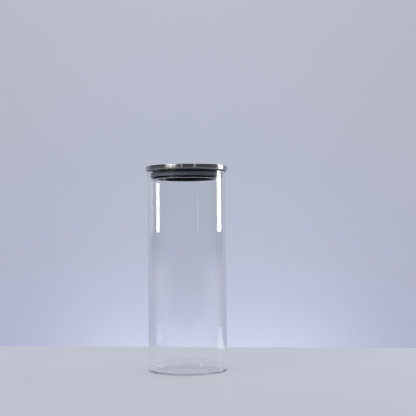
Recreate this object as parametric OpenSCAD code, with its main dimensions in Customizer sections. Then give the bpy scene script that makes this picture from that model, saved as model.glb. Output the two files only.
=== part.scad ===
// Lidded glass canister: a straight glass jar and a push-in lid of brushed steel over black plastic,
// sealed by a grey silicone ring.
// Millimetres, +Z up. The origin is the centre of the base, on the surface that the jar stands on.
// Every piece is round, so each one is a profile of radius and height, turned about the Z axis.

/* [Jar] */
// Outside diameter of the glass
jar_d = 100; // [80:1:120]
// Height of the glass, from the base to the rim
jar_h = 255; // [120:1:320]
// Thickness of the glass wall
wall = 2.8; // [2:0.1:4]
// Thickness of the glass base at its edge
floor_t = 2.6; // [2.4:0.1:7]
// Outside radius where the wall turns into the base
heel_r = 2.5; // [1.5:0.5:6]
// Inside radius where the wall turns into the base
inner_heel_r = 1.5; // [1:0.5:6]
// Height of the shallow hollow under the base
punt_h = 0.8; // [0.5:0.1:1.2]

/* [Steel cap] */
// How far the steel rim stands out past the glass
overhang = 2.6; // [1.5:0.1:4]
// Height of the steel rim
cap_h = 6; // [5:0.5:9]
// Thickness of the steel sheet
sheet = 0.7; // [0.5:0.1:0.9]
// Outside radius of the rim's upper edge
edge_r = 1; // [0.9:0.1:1.5]
// Outside radius of the rim's turned-in lower edge
hem_r = 1; // [0.9:0.1:2.5]
// Width of the turned-in lower edge
hem_w = 1.9; // [1.2:0.1:2.2]

/* [Plug] */
// Depth of the plug below the rim of the glass
plug_depth = 10.4; // [9.8:0.1:16]
// Gap between the plug and the inside of the glass
plug_gap = 3.5; // [2.5:0.1:5]
// Radius of the hollow in the underside of the plug
hollow_r = 36.2; // [15:0.1:37]
// Thickness of the moulded plastic
plastic_t = 1.8; // [1.2:0.1:2]

/* [Seal] */
// Height of the plain band of plug above the seal
seal_drop = 3.5; // [1.5:0.1:4]
// Height of the seal
seal_h = 4.4; // [3.5:0.1:5]
// How far the seal's face stands out past the plug
seal_proud = 1.6; // [0.5:0.1:2]
// Depth of the groove that holds the seal
groove_depth = 2.2; // [1.5:0.1:2.5]
// Thickness of a sealing lip
lip_t = 0.7; // [0.5:0.1:1]

/* [Hidden] */
$fn = 180;

// Clearances: lid above the rim, lips inside the glass, and pieces fitted to one another in the lid
seat_gap = 0.15;
lip_gap = 0.3;
fit = 0.05;

// Jar, with the width of the flat ring that it stands on
jar_r = jar_d / 2;
bore_r = jar_r - wall;
foot_w = 4;
punt_r = jar_r - heel_r - foot_w;
punt_curve_r = (punt_r * punt_r + punt_h * punt_h) / (2 * punt_h);

// Lid heights, measured from the underside of its flange
lid_z = jar_h + seat_gap;
flange_t = 2;
core_top = cap_h - sheet - fit;
seal_top = -seal_drop;
seal_low = seal_top - seal_h;

// Lid radii
cap_r = jar_r + overhang;
hem_inner_r = cap_r - hem_w;
core_r = cap_r - sheet - fit;
plug_r = bore_r - plug_gap;
groove_r = plug_r - groove_depth;
seal_r = plug_r + seal_proud;
lip_r = bore_r - lip_gap;

// Sealing lips: how far a tip rises, and its thickness as a share of the lip's
lip_rise = 0.6;
lip_tip = 0.6;

// Small rounded edges of the moulded core
mouth_edge_r = 0.2;
plug_edge_r = 0.4;
ceiling_r = 1.5;
hidden_edge_r = 0.3;

// Ribs in the core's pocket
rib_n = 8;
rib_t = 1.2;

// How far a cutting shape runs past what it cuts
past = 1;

// Rectangle between two radii and two heights
module band(r0, r1, z0, z1) {
    translate([r0, z0]) square([r1 - r0, z1 - z0]);
}

// Disc in section, from the axis out, with its lower and upper outside edges rounded
module rounded_disc(r, z0, z1, low_r, top_r) {
    band(0, r, z0 + low_r, z1 - top_r);
    if (low_r > 0) {
        band(0, r - low_r, z0, z0 + low_r);
        translate([r - low_r, z0 + low_r]) circle(low_r);
    }
    if (top_r > 0) {
        band(0, r - top_r, z1 - top_r, z1);
        translate([r - top_r, z1 - top_r]) circle(top_r);
    }
}

// Shallow dome under the base, which leaves a flat ring for the jar to stand on
module punt_profile() {
    intersection() {
        band(0, punt_r + past, -past, punt_h + past);
        translate([0, punt_h - punt_curve_r]) circle(punt_curve_r, $fn = 1440);
    }
}

module glass_jar() {
    color([0.86, 0.9, 0.93, 0.35])
    rotate_extrude() {
        difference() {
            rounded_disc(jar_r, 0, jar_h - wall / 2, heel_r, 0);
            rounded_disc(bore_r, floor_t, jar_h + past, inner_heel_r, 0);
            punt_profile();
        }
        // Fire-polished rim
        translate([jar_r - wall / 2, jar_h - wall / 2]) circle(d = wall);
    }
}

// Pressed shell whose lower edge is turned in under the core's flange
module steel_cap() {
    color("silver")
    translate([0, 0, lid_z])
    rotate_extrude() difference() {
        rounded_disc(cap_r, 0, cap_h, hem_r, edge_r);
        rounded_disc(cap_r - sheet, sheet, cap_h - sheet, hem_r - sheet, hidden_edge_r);
        band(0, hem_inner_r, -past, 2 * sheet);
    }
}

// Moulded body: a flange on the rim, a plug in the mouth that is hollow from below, and a pocket
// that is open above, under the steel, so that the plastic is thin all over
module core_profile() {
    difference() {
        union() {
            rounded_disc(core_r, sheet + fit, core_top, hem_r - sheet, hidden_edge_r);
            band(0, hem_inner_r - fit, 0, flange_t);
            rounded_disc(plug_r, -plug_depth, flange_t, plug_edge_r, 0);
        }
        // Groove for the seal
        band(groove_r, plug_r + past, seal_low - fit, seal_top + fit);
        // Hollow underneath
        rounded_disc(hollow_r, -plug_depth - past, core_top - plastic_t, 0, ceiling_r);
        // Rounded mouth of the hollow
        difference() {
            band(0, hollow_r + mouth_edge_r, -plug_depth - past, mouth_edge_r - plug_depth);
            translate([hollow_r + mouth_edge_r, mouth_edge_r - plug_depth]) circle(mouth_edge_r);
        }
        // Pocket above
        band(hollow_r + plastic_t, groove_r - plastic_t, plastic_t - plug_depth, core_top + past);
        band(hollow_r + plastic_t, core_r - plastic_t, flange_t, core_top + past);
    }
}

// Ribs across the pocket, which carry the steel
module core_ribs() {
    rib_r0 = hollow_r + plastic_t / 2;
    rib_r1 = core_r - plastic_t / 2;
    for (i = [0 : rib_n - 1])
        rotate([0, 0, i * 360 / rib_n])
        translate([rib_r0, -rib_t / 2, flange_t / 2])
        cube([rib_r1 - rib_r0, rib_t, core_top - flange_t]);
}

module lid_core() {
    color([0.06, 0.065, 0.07])
    translate([0, 0, lid_z]) {
        rotate_extrude() core_profile();
        core_ribs();
    }
}

// Sealing lip that leans upward: root_z is the height of its underside at the seal's face
module lip_profile(root_z) {
    root_r = seal_r - lip_t;
    polygon([
        [root_r, root_z],
        [seal_r, root_z],
        [lip_r, root_z + lip_rise],
        [lip_r, root_z + lip_rise + lip_tip * lip_t],
        [seal_r, root_z + lip_t],
        [root_r, root_z + lip_t]
    ]);
}

module seal_ring() {
    color("slategray")
    translate([0, 0, lid_z])
    rotate_extrude() {
        band(groove_r + fit, seal_r, seal_low, seal_top);
        lip_profile(seal_low);
        lip_profile(seal_top - lip_t);
    }
}

glass_jar();
steel_cap();
lid_core();
seal_ring();
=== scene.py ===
import math

import bpy
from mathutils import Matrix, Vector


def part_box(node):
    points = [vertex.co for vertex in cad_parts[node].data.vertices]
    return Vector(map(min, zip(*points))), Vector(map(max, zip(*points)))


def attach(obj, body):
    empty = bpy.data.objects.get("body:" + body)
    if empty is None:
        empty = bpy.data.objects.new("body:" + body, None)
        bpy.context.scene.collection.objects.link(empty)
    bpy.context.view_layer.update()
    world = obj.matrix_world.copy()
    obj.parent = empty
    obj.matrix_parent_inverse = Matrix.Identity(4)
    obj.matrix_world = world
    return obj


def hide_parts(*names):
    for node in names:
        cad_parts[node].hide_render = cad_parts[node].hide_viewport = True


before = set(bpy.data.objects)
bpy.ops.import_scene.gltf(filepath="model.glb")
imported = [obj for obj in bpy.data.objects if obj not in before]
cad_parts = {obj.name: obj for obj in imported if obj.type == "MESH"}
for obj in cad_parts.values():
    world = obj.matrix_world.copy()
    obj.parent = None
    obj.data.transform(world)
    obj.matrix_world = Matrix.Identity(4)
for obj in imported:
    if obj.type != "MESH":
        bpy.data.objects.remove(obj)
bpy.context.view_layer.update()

# Looks of a straight glass canister with a push-in lid: brushed steel over black plastic, sealed by
# grey silicone. Every piece is round, so each is turned from an outline of (radius, height) points.
# Lengths are in metres and angles in degrees, and the object's axis is Z.

MM = 0.001

# Sizes taken from the frame
JAR_R, _, JAR_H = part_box("glass_jar")[1]
CAP_LOW, CAP_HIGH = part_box("steel_cap")
CORE_LOW, CORE_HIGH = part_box("lid_core")
CAP_R = CAP_HIGH[0]
LID_Z = CAP_LOW[2]
CAP_TOP = CAP_HIGH[2]
PLUG_Z = CORE_LOW[2]
CORE_TOP = CORE_HIGH[2]
CORE_R = CORE_HIGH[0]

# Sizes of the glass that its box doesn't give
WALL = 2.8 * MM
BORE_R = JAR_R - WALL
FLOOR_T = 2.6 * MM
HEEL_R = 2.5 * MM
INNER_HEEL_R = 1.5 * MM
FOOT_W = 4 * MM
PUNT_H = 0.8 * MM
PUNT_R = JAR_R - HEEL_R - FOOT_W

# Ripple inside the base: its height, the (count round the base, share, phase in radians) of each
# wave, and the rise in the middle as a share of the height
RIPPLE = 0.12 * MM
WAVES = [(5, 1.0, 0.6), (8, 0.7, 2.1), (13, 0.5, 4.0)]
RIPPLE_CROWN = 0.6

# Sizes of the lid that its boxes don't give
SHEET = 0.7 * MM
EDGE_R = 1 * MM
HEM_R = 1 * MM
HEM_W = 1.9 * MM
PLUG_R = BORE_R - 3.5 * MM
HOLLOW_R = 36.2 * MM
PLASTIC = 1.8 * MM
HIDDEN_EDGE_R = 0.3 * MM
FLANGE_T = 2 * MM
GROOVE_R = PLUG_R - 2.2 * MM
SEAL_FACE_R = PLUG_R + 1.6 * MM
SEAL_H = 4.4 * MM
SEAL_TOP = LID_Z - 3.5 * MM
SEAL_BOTTOM = SEAL_TOP - SEAL_H
LIP_R = BORE_R - 0.3 * MM
LIP_T = 0.7 * MM
LIP_TIP = 0.6 * LIP_T
LIP_RISE = 0.6 * MM
FIT = 0.05 * MM

# Small rounded edges of the plug, and the gate mark in the ceiling of its hollow
PLUG_EDGE_R = 0.4 * MM
MOUTH_EDGE_R = 0.2 * MM
CEILING_R = 1.5 * MM
GATE_R = 1.3 * MM
GATE_H = 0.4 * MM

# Points round each piece, and the distance below which two points are one
SEGMENTS = 192
REPEAT = 1e-7


# ---------------------------------------------------------------- outlines and meshes

def arc(centre_r, centre_z, radius, start, end, steps=8):
    """Points on an arc, from the angle start to the angle end."""
    points = []
    for i in range(steps + 1):
        a = math.radians(start + (end - start) * i / steps)
        points.append((centre_r + radius * math.cos(a), centre_z + radius * math.sin(a)))
    return points


def line(start, end, steps=1):
    """Points along a straight stretch, both ends included."""
    return [
        (start[0] + (end[0] - start[0]) * i / steps, start[1] + (end[1] - start[1]) * i / steps)
        for i in range(steps + 1)
    ]


def without_repeats(points):
    """The outline with points that fall on the one before taken out."""
    kept = [points[0]]
    for p in points[1:]:
        if math.dist(p, kept[-1]) > REPEAT:
            kept.append(p)
    if math.dist(kept[0], kept[-1]) < REPEAT:
        kept.pop()
    return kept


def turned(name, outline, shift=None):
    """A closed piece turned about Z from an outline that runs anticlockwise in (radius, height).

    An outline that starts and ends on the axis closes there. shift(angle, r, z) gives the small
    change of radius and height that keeps a surface from being perfectly round and flat."""
    outline = without_repeats(outline)
    on_axis = [r < REPEAT for r, _ in outline]
    vertices, rings = [], []
    for (r, z), pole in zip(outline, on_axis):
        ring = []
        for i in range(1 if pole else SEGMENTS):
            a = 2 * math.pi * i / SEGMENTS
            dr, dz = shift(a, r, z) if shift else (0, 0)
            ring.append(len(vertices))
            vertices.append(((r + dr) * math.cos(a), (r + dr) * math.sin(a), z + dz))
        rings.append(ring * (SEGMENTS if pole else 1))
    faces = []
    pairs = list(zip(rings, rings[1:]))
    if not (on_axis[0] and on_axis[-1]):
        pairs.append((rings[-1], rings[0]))
    for low, high in pairs:
        for i in range(SEGMENTS):
            j = (i + 1) % SEGMENTS
            face = [low[i], low[j], high[j], high[i]]
            face = [v for k, v in enumerate(face) if v != face[k - 1]]
            faces.append(face)
    mesh = bpy.data.meshes.new(name)
    mesh.from_pydata(vertices, [], faces)
    mesh.validate()
    mesh.shade_smooth()
    piece = bpy.data.objects.new(name, mesh)
    bpy.context.scene.collection.objects.link(piece)
    return piece


# ---------------------------------------------------------------- materials

def node(tree, kind, inputs=None, **settings):
    """A shader node. Each input is a value, or a socket to link from."""
    made = tree.nodes.new(kind)
    for key, value in settings.items():
        setattr(made, key, value)
    for key, value in (inputs or {}).items():
        if isinstance(value, bpy.types.NodeSocket):
            tree.links.new(value, made.inputs[key])
        else:
            made.inputs[key].default_value = value
    return made


def maths(tree, operation, a, b=0.0, c=0.0):
    return node(tree, "ShaderNodeMath", {0: a, 1: b, 2: c}, operation=operation).outputs[0]


def vector_maths(tree, operation, a, b=(0, 0, 0), c=(0, 0, 0)):
    return node(tree, "ShaderNodeVectorMath", {0: a, 1: b, 2: c}, operation=operation).outputs[0]


def scaled(tree, vector, factor):
    return node(
        tree, "ShaderNodeVectorMath", {0: vector, "Scale": factor}, operation="SCALE"
    ).outputs[0]


def ramp(tree, factor, stops):
    """Colour ramp. stops are (place, colour) with a grey level or three numbers as the colour."""
    made = node(tree, "ShaderNodeValToRGB", {"Fac": factor})
    elements = made.color_ramp.elements
    while len(elements) < len(stops):
        elements.new(0.5)
    for element, (place, colour) in zip(elements, stops):
        element.position = place
        rgb = colour if isinstance(colour, tuple) else (colour,) * 3
        element.color = (*rgb, 1)
    return made.outputs["Color"]


def between(tree, factor, low, high, out_low=0.0, out_high=1.0):
    """factor taken from the range low to high and onto out_low to out_high, clamped."""
    return node(
        tree, "ShaderNodeMapRange", {0: factor, 1: low, 2: high, 3: out_low, 4: out_high}
    ).outputs[0]


def mixed(tree, factor, a, b):
    made = node(tree, "ShaderNodeMix", data_type="RGBA")
    for key, value in ((0, factor), (6, a), (7, b)):
        if isinstance(value, bpy.types.NodeSocket):
            tree.links.new(value, made.inputs[key])
        else:
            made.inputs[key].default_value = value if key == 0 else (*value, 1)
    return made.outputs[2]


def place_of(tree):
    return node(tree, "ShaderNodeTexCoord").outputs["Object"]


def spots(tree, per_mm, detail=2.0, roughness=0.5):
    """Even noise, with per_mm bumps to a millimetre."""
    return node(tree, "ShaderNodeTexNoise", {
        "Vector": place_of(tree), "Scale": per_mm / MM, "Detail": detail, "Roughness": roughness,
    }).outputs[0]


def streaks(tree, around, out_per_mm, up_per_mm, detail=2.0, roughness=0.5):
    """Noise drawn out round the axis. around is its fineness round the piece, and the other two are
    its fineness away from the axis and up it."""
    x, y, z = node(tree, "ShaderNodeSeparateXYZ", {0: place_of(tree)}).outputs
    flat = node(tree, "ShaderNodeCombineXYZ", {0: x, 1: y}).outputs[0]
    out = node(tree, "ShaderNodeVectorMath", {0: flat}, operation="LENGTH").outputs["Value"]
    direction = vector_maths(tree, "NORMALIZE", flat)
    line_place = maths(tree, "MULTIPLY_ADD", out, out_per_mm / MM,
                       maths(tree, "MULTIPLY", z, up_per_mm / MM))
    lift = node(tree, "ShaderNodeCombineXYZ", {2: line_place}).outputs[0]
    vector = vector_maths(tree, "MULTIPLY_ADD", direction, (around, around, 0), lift)
    return node(tree, "ShaderNodeTexNoise", {
        "Vector": vector, "Scale": 1.0, "Detail": detail, "Roughness": roughness,
    }).outputs[0]


def bumped(tree, height, depth, below=None):
    """Normal of a surface whose height field rises by depth, in metres, over another normal."""
    inputs = {"Height": height, "Distance": depth, "Strength": 1.0}
    if below is not None:
        inputs["Normal"] = below
    return node(tree, "ShaderNodeBump", inputs).outputs[0]


def new_material(name, **values):
    """A material with one Principled shader, and its node tree. values are set on its sockets."""
    material = bpy.data.materials.new(name)
    material.use_nodes = True
    tree = material.node_tree
    shader = tree.nodes["Principled BSDF"]
    for key, value in values.items():
        shader.inputs[key.replace("_", " ")].default_value = value
    return material, tree, shader


def glass_material():
    """Clear drawn glass: faint lines up the wall, and a trace of wiping in its gloss."""
    material, tree, shader = new_material(
        "clear_glass", Base_Color=(1, 1, 1, 1), Roughness=0.0, IOR=1.47, Transmission_Weight=1.0
    )
    draw_lines = streaks(tree, 14, 0.3, 0.004, 2)
    link = tree.links.new
    link(bumped(tree, draw_lines, 0.02 * MM), shader.inputs["Normal"])
    wiped = streaks(tree, 2, 0.02, 0.05, 4, 0.6)
    link(between(tree, wiped, 0.5, 0.8, 0.0, 0.03), shader.inputs["Roughness"])
    return material


def steel_material():
    """Stainless steel brushed round and round, with thumb marks that dull it a little, and painted
    shade that turns it near black on faces that look down, where its lower edge is turned in."""
    material, tree, shader = new_material(
        "brushed_steel", Metallic=1.0, Roughness=0.3, Anisotropic=1.0, Anisotropic_Rotation=0.25
    )
    link = tree.links.new
    round_axis = node(tree, "ShaderNodeTangent", direction_type="RADIAL", axis="Z")
    link(round_axis.outputs[0], shader.inputs["Tangent"])
    hairlines = streaks(tree, 5, 3.2, 3.2, 3, 0.65)
    bands = streaks(tree, 1.4, 0.45, 0.45, 2)
    smudges = between(tree, spots(tree, 0.045, 3, 0.6), 0.52, 0.72)
    tone = ramp(tree, maths(tree, "MULTIPLY_ADD", hairlines, 0.7, maths(tree, "MULTIPLY", bands, 0.3)), [
        (0.3, (0.37, 0.36, 0.35)), (0.5, (0.45, 0.44, 0.43)), (0.7, (0.52, 0.515, 0.51)),
    ])
    face = mixed(tree, maths(tree, "MULTIPLY", smudges, 0.25), tone, (0.4, 0.395, 0.39))
    facing = node(tree, "ShaderNodeNewGeometry").outputs["True Normal"]
    downward = node(tree, "ShaderNodeSeparateXYZ", {0: facing}).outputs[2]
    # Painted shade: faces that look down, under the turned-in lower edge, are darkened to near black
    painted_under_shade = between(tree, downward, -0.75, -0.97, 0.0, 0.85)
    link(mixed(tree, painted_under_shade, face, (0.02, 0.02, 0.02)), shader.inputs["Base Color"])
    dull = maths(tree, "MULTIPLY_ADD", smudges, 0.06, between(tree, hairlines, 0.3, 0.7, 0.2, 0.27))
    link(dull, shader.inputs["Roughness"])
    link(bumped(tree, hairlines, 0.004 * MM), shader.inputs["Normal"])
    return material


def plastic_material():
    """Black moulded plastic, glossy, with a slight orange peel and a little dust."""
    material, tree, shader = new_material("black_plastic", Specular_IOR_Level=0.4)
    link = tree.links.new
    peel = spots(tree, 0.8, 2)
    dust = between(tree, spots(tree, 2.4, 2, 0.7), 0.66, 0.74)
    link(mixed(tree, maths(tree, "MULTIPLY", dust, 0.12), (0.004, 0.0042, 0.005), (0.2, 0.2, 0.21)),
         shader.inputs["Base Color"])
    link(between(tree, spots(tree, 0.06, 4, 0.6), 0.35, 0.7, 0.1, 0.2), shader.inputs["Roughness"])
    link(bumped(tree, peel, 0.008 * MM), shader.inputs["Normal"])
    return material


def silicone_material():
    """Slate-grey silicone: satin, with fine tooth marks from its mould and specks of lint."""
    material, tree, shader = new_material("grey_silicone", Specular_IOR_Level=0.45)
    link = tree.links.new
    clouds = spots(tree, 0.12, 3, 0.6)
    tone = ramp(tree, clouds, [(0.3, (0.25, 0.295, 0.355)), (0.7, (0.3, 0.352, 0.412))])
    lint = between(tree, spots(tree, 1.8, 3, 0.75), 0.68, 0.76)
    link(mixed(tree, maths(tree, "MULTIPLY", lint, 0.3), tone, (0.45, 0.46, 0.48)),
         shader.inputs["Base Color"])
    link(between(tree, clouds, 0.3, 0.7, 0.4, 0.52), shader.inputs["Roughness"])
    tooth = maths(tree, "ADD", streaks(tree, 8, 2.5, 2.5, 2), spots(tree, 3.0, 2))
    link(bumped(tree, tooth, 0.008 * MM), shader.inputs["Normal"])
    return material


# ---------------------------------------------------------------- pieces

def jar_outline():
    punt_curve = (PUNT_R ** 2 + PUNT_H ** 2) / (2 * PUNT_H)
    punt_half = math.degrees(math.asin(PUNT_R / punt_curve))
    rim_r = WALL / 2
    wall_top = JAR_H - rim_r
    return (
        arc(0, PUNT_H - punt_curve, punt_curve, 90, 90 - punt_half, 10)
        + arc(JAR_R - HEEL_R, HEEL_R, HEEL_R, -90, 0, 16)
        + line((JAR_R, HEEL_R), (JAR_R, wall_top), 60)
        + arc(JAR_R - rim_r, wall_top, rim_r, 0, 180, 16)
        + line((BORE_R, wall_top), (BORE_R, FLOOR_T + INNER_HEEL_R), 60)
        + arc(BORE_R - INNER_HEEL_R, FLOOR_T + INNER_HEEL_R, INNER_HEEL_R, 0, -90, 14)
        + line((BORE_R - INNER_HEEL_R, FLOOR_T), (0, FLOOR_T), 24)
    )


def jar_waves(angle, r, z):
    """Slow ripple that the flame leaves inside the base, deepest near the wall."""
    if z > FLOOR_T + INNER_HEEL_R or z < FLOOR_T - RIPPLE or r > BORE_R - RIPPLE:
        return 0, 0
    near_wall = (r / BORE_R) ** 3
    swell = sum(share * math.sin(count * angle + phase) for count, share, phase in WAVES)
    crown = RIPPLE_CROWN * math.cos(math.pi * r / BORE_R)
    return 0, RIPPLE * (near_wall * swell + crown)


def cap_outline():
    inner_r = CAP_R - SHEET
    hem_in = CAP_R - HEM_W
    hem_inside = HEM_R - SHEET
    return (
        [(hem_in, LID_Z)]
        + arc(CAP_R - HEM_R, LID_Z + HEM_R, HEM_R, -90, 0, 10)
        + arc(CAP_R - EDGE_R, CAP_TOP - EDGE_R, EDGE_R, 0, 90, 8)
        + line((CAP_R - EDGE_R, CAP_TOP), (0, CAP_TOP), 12)
        + line((0, CAP_TOP - SHEET), (inner_r - HIDDEN_EDGE_R, CAP_TOP - SHEET))
        + arc(inner_r - HIDDEN_EDGE_R, CAP_TOP - SHEET - HIDDEN_EDGE_R, HIDDEN_EDGE_R, 90, 0, 4)
        + arc(inner_r - hem_inside, LID_Z + SHEET + hem_inside, hem_inside, 0, -90, 6)
        + [(hem_in, LID_Z + SHEET)]
    )


def core_outline():
    hem_in = CAP_R - HEM_W - FIT
    step_r = HEM_R - SHEET
    step_z = LID_Z + SHEET + FIT
    wall_r = HOLLOW_R + PLASTIC
    ceiling = CORE_TOP - PLASTIC
    return (
        [(0, ceiling - GATE_H), (0.8 * GATE_R, ceiling - GATE_H), (GATE_R, ceiling)]
        + [(HOLLOW_R - CEILING_R, ceiling)]
        + arc(HOLLOW_R - CEILING_R, ceiling - CEILING_R, CEILING_R, 90, 0, 6)
        + arc(HOLLOW_R + MOUTH_EDGE_R, PLUG_Z + MOUTH_EDGE_R, MOUTH_EDGE_R, 180, 270, 4)
        + arc(PLUG_R - PLUG_EDGE_R, PLUG_Z + PLUG_EDGE_R, PLUG_EDGE_R, -90, 0, 6)
        + [(PLUG_R, SEAL_BOTTOM - FIT), (GROOVE_R, SEAL_BOTTOM - FIT)]
        + [(GROOVE_R, SEAL_TOP + FIT), (PLUG_R, SEAL_TOP + FIT)]
        + [(PLUG_R, LID_Z), (hem_in, LID_Z), (hem_in, step_z)]
        + arc(CORE_R - step_r, step_z + step_r, step_r, -90, 0, 6)
        + arc(CORE_R - HIDDEN_EDGE_R, CORE_TOP - HIDDEN_EDGE_R, HIDDEN_EDGE_R, 0, 90, 3)
        + [(CORE_R - PLASTIC, CORE_TOP), (CORE_R - PLASTIC, LID_Z + FLANGE_T)]
        + [(GROOVE_R - PLASTIC, LID_Z + FLANGE_T), (GROOVE_R - PLASTIC, PLUG_Z + PLASTIC)]
        + [(wall_r, PLUG_Z + PLASTIC), (wall_r, CORE_TOP), (0, CORE_TOP)]
    )


def lip_outline(root_z):
    """Outer edge of a sealing lip that leans upward, from its underside to its top."""
    tip_r = LIP_TIP / 2
    return (
        [(SEAL_FACE_R, root_z)]
        + arc(LIP_R - tip_r, root_z + LIP_RISE + tip_r, tip_r, -70, 90, 6)
        + [(SEAL_FACE_R, root_z + LIP_T)]
    )


def seal_outline():
    return (
        [(GROOVE_R + FIT, SEAL_BOTTOM)]
        + lip_outline(SEAL_BOTTOM)
        + lip_outline(SEAL_TOP - LIP_T)
        + [(GROOVE_R + FIT, SEAL_TOP)]
    )


def add_piece(name, outline, body, replaced, material, shift=None):
    piece = turned(name, outline, shift)
    piece.data.materials.append(material)
    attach(piece, body)
    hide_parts(replaced)
    return piece


add_piece(
    "jar_glass", jar_outline(), "jar", "glass_jar", glass_material(), jar_waves
)
add_piece("cap_shell", cap_outline(), "lid", "steel_cap", steel_material())
add_piece("plug_body", core_outline(), "lid", "lid_core", plastic_material())
add_piece("seal_lips", seal_outline(), "lid", "seal_ring", silicone_material())


# ---------------------------------------------------------------- studio

CAMERA_DISTANCE = 1.282
CAMERA_HEIGHT = 0.16
CAMERA_PITCH = 2.139
CAMERA_ROLL = 0.5
CAMERA_YAW = 1.2
CAMERA_LENS = 86.5

TABLE_BACK = 0.3
TABLE_FRONT = -0.7
TABLE_LEFT = -1.1
TABLE_RIGHT = 0.62
TABLE_TURN = -8.8

STRIP_AZIMUTH = 109.6
POOL_LIFT = 2 * MM

# Light from the room in front of the table, from the backdrop behind it, and from the glow on that.
# The glow's azimuth and width are in radians, and its foot and height are parts of a unit sphere.
ROOM = (0.012, 0.0125, 0.014)
FLOOR_FRONT = (0.16, 0.17, 0.2)
FLOOR_SIDE = (0.44, 0.46, 0.52)
SKY = [
    (0.40, (0.438, 0.484, 0.646)), (0.50, (0.45, 0.485, 0.61)),
    (0.60, (0.466, 0.492, 0.595)), (0.74, (0.491, 0.511, 0.607)),
]
SIDE_FALL = (0.22, 0.38, 0.63)
GLOW = (0.375, 0.382, 0.427)
GLOW_AZIMUTH = 0.022
GLOW_WIDTH = 0.148
GLOW_FOOT = -0.148
GLOW_HEIGHT = 0.064


def table():
    """Satin table top that is lit a little from within, which keeps the shadows on it soft."""
    corners = [
        (TABLE_LEFT, TABLE_FRONT, 0), (TABLE_RIGHT, TABLE_FRONT, 0),
        (TABLE_RIGHT, TABLE_BACK, 0), (TABLE_LEFT, TABLE_BACK, 0),
    ]
    mesh = bpy.data.meshes.new("table")
    mesh.from_pydata(corners, [], [(0, 1, 2, 3)])
    piece = bpy.data.objects.new("table", mesh)
    piece.rotation_euler.z = math.radians(TABLE_TURN)
    bpy.context.scene.collection.objects.link(piece)
    material, tree, shader = new_material(
        "table_top", Emission_Color=(0.408, 0.426, 0.486, 1), Emission_Strength=1.0,
        Specular_IOR_Level=0.07
    )
    grain = spots(tree, 0.02, 4, 0.6)
    tree.links.new(
        ramp(tree, grain, [(0.3, (0.085, 0.09, 0.1)), (0.7, (0.1, 0.105, 0.115))]),
        shader.inputs["Base Color"]
    )
    tree.links.new(between(tree, grain, 0.3, 0.7, 0.4, 0.46), shader.inputs["Roughness"])
    mesh.materials.append(material)


def softbox(name, azimuth, distance, low, high, width, radiance, tilted=False):
    """Soft light that faces the object's axis. azimuth is 0 on the camera's side and 90 on its right."""
    light = bpy.data.lights.new(name, "AREA")
    light.shape = "RECTANGLE"
    light.size = width
    light.size_y = high - low
    light.energy = radiance * math.pi * width * (high - low)
    lamp = bpy.data.objects.new(name, light)
    bpy.context.scene.collection.objects.link(lamp)
    a = math.radians(azimuth)
    middle = (low + high) / 2
    lamp.location = (distance * math.sin(a), -distance * math.cos(a), middle)
    lean = math.atan2(middle - JAR_H / 2, distance) if tilted else 0
    lamp.rotation_euler = (math.radians(90) - lean, 0, a)
    lamp.visible_camera = False


def overhead(height, size, radiance):
    light = bpy.data.lights.new("overhead", "AREA")
    light.shape = "SQUARE"
    light.size = size
    light.energy = radiance * math.pi * size * size
    lamp = bpy.data.objects.new("overhead", light)
    bpy.context.scene.collection.objects.link(lamp)
    lamp.location = (0, 0, height)
    lamp.visible_camera = False


def table_pool(azimuth, near, far, width, radiance):
    """Stands for the strip light's pool on the table: a lamp that lies there and faces up, from near
    to far off the object's axis."""
    light = bpy.data.lights.new("table_pool", "AREA")
    light.shape = "RECTANGLE"
    light.size = width
    light.size_y = far - near
    light.energy = radiance * math.pi * width * (far - near)
    lamp = bpy.data.objects.new("table_pool", light)
    bpy.context.scene.collection.objects.link(lamp)
    a = math.radians(azimuth)
    middle = (near + far) / 2
    lamp.location = (middle * math.sin(a), -middle * math.cos(a), POOL_LIFT)
    lamp.rotation_euler = (math.radians(180), 0, a)
    lamp.visible_camera = False


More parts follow.
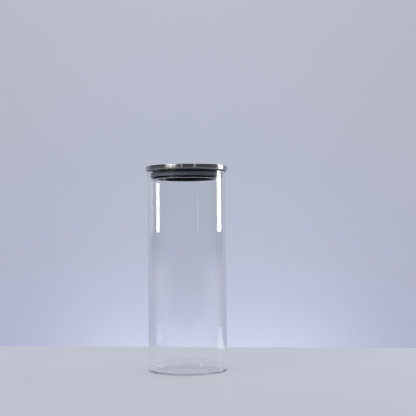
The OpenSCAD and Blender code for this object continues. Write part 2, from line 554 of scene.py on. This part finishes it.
def studio_world():
    """Pale backdrop with a glow behind the table. It is seen all round, directly or through clear
    glass, but the object is lit by, and reflects, a room that is dark in front of the table."""
    world = bpy.data.worlds.new("studio")
    bpy.context.scene.world = world
    world.use_nodes = True
    tree = world.node_tree
    direction = node(tree, "ShaderNodeTexCoord").outputs["Generated"]
    x, y, z = node(tree, "ShaderNodeSeparateXYZ", {0: direction}).outputs
    azimuth = maths(tree, "ARCTAN2", x, y)
    sky = ramp(tree, maths(tree, "ADD", z, 0.5), SKY)
    side = maths(tree, "MINIMUM", maths(tree, "MULTIPLY", azimuth, azimuth), 0.06)
    backdrop = vector_maths(tree, "SUBTRACT", sky, scaled(tree, SIDE_FALL, side))
    behind = between(tree, y, 0.4, 0.75)
    path = node(tree, "ShaderNodeLightPath").outputs
    direct = maths(tree, "LESS_THAN", maths(tree, "ADD", path["Glossy Depth"], path["Diffuse Depth"]), 0.5)
    pale = maths(tree, "MAXIMUM", behind, direct)
    front_floor = mixed(tree, between(tree, z, -0.09, -0.04), FLOOR_FRONT, ROOM)
    side_floor = mixed(tree, between(tree, z, -0.03, 0.0), FLOOR_SIDE, ROOM)
    front = mixed(tree, between(tree, y, -0.85, -0.1), front_floor, side_floor)
    room = mixed(tree, pale, front, backdrop)
    off = maths(tree, "ABSOLUTE", maths(tree, "SUBTRACT", azimuth, GLOW_AZIMUTH))
    across = maths(tree, "POWER", maths(tree, "DIVIDE", off, GLOW_WIDTH), 3.5)
    along = maths(tree, "ABSOLUTE", maths(tree, "SUBTRACT", z, GLOW_FOOT))
    fade = maths(tree, "ADD", across, maths(tree, "DIVIDE", along, GLOW_HEIGHT))
    glow = scaled(tree, GLOW, maths(tree, "EXPONENT", maths(tree, "MULTIPLY", fade, -1.0)))
    total = vector_maths(tree, "ADD", room, glow)
    tree.links.new(total, tree.nodes["Background"].inputs["Color"])


def camera():
    data = bpy.data.cameras.new("camera")
    data.lens = CAMERA_LENS
    data.sensor_width = 36
    eye = bpy.data.objects.new("camera", data)
    bpy.context.scene.collection.objects.link(eye)
    eye.location = (0, -CAMERA_DISTANCE, CAMERA_HEIGHT)
    eye.rotation_euler = (
        math.radians(90 + CAMERA_PITCH), math.radians(CAMERA_ROLL), math.radians(-CAMERA_YAW)
    )
    bpy.context.scene.camera = eye


table()
studio_world()
camera()
softbox("right_strip", STRIP_AZIMUTH, distance=0.726, low=0.187, high=0.71, width=0.204, radiance=10)
softbox("left_slit", -45, distance=1.9, low=0.37, high=1.2, width=0.1, radiance=2.6)
softbox("left_key", -48, distance=2.4, low=1.1, high=2.6, width=1.5, radiance=5.5, tilted=True)
softbox("front_lamp_left", -14.7, distance=2.4, low=1.1, high=2.4, width=0.07, radiance=6, tilted=True)
softbox("front_lamp_right", 24, distance=2.4, low=1.1, high=2.4, width=0.09, radiance=9, tilted=True)
overhead(height=1.9, size=2.0, radiance=0.7)
table_pool(STRIP_AZIMUTH, near=0.3, far=0.7, width=0.2, radiance=0.8)

scene = bpy.context.scene
scene.view_settings.view_transform = "Standard"
scene.cycles.max_bounces = 32
scene.cycles.glossy_bounces = 24
scene.cycles.transmission_bounces = 32
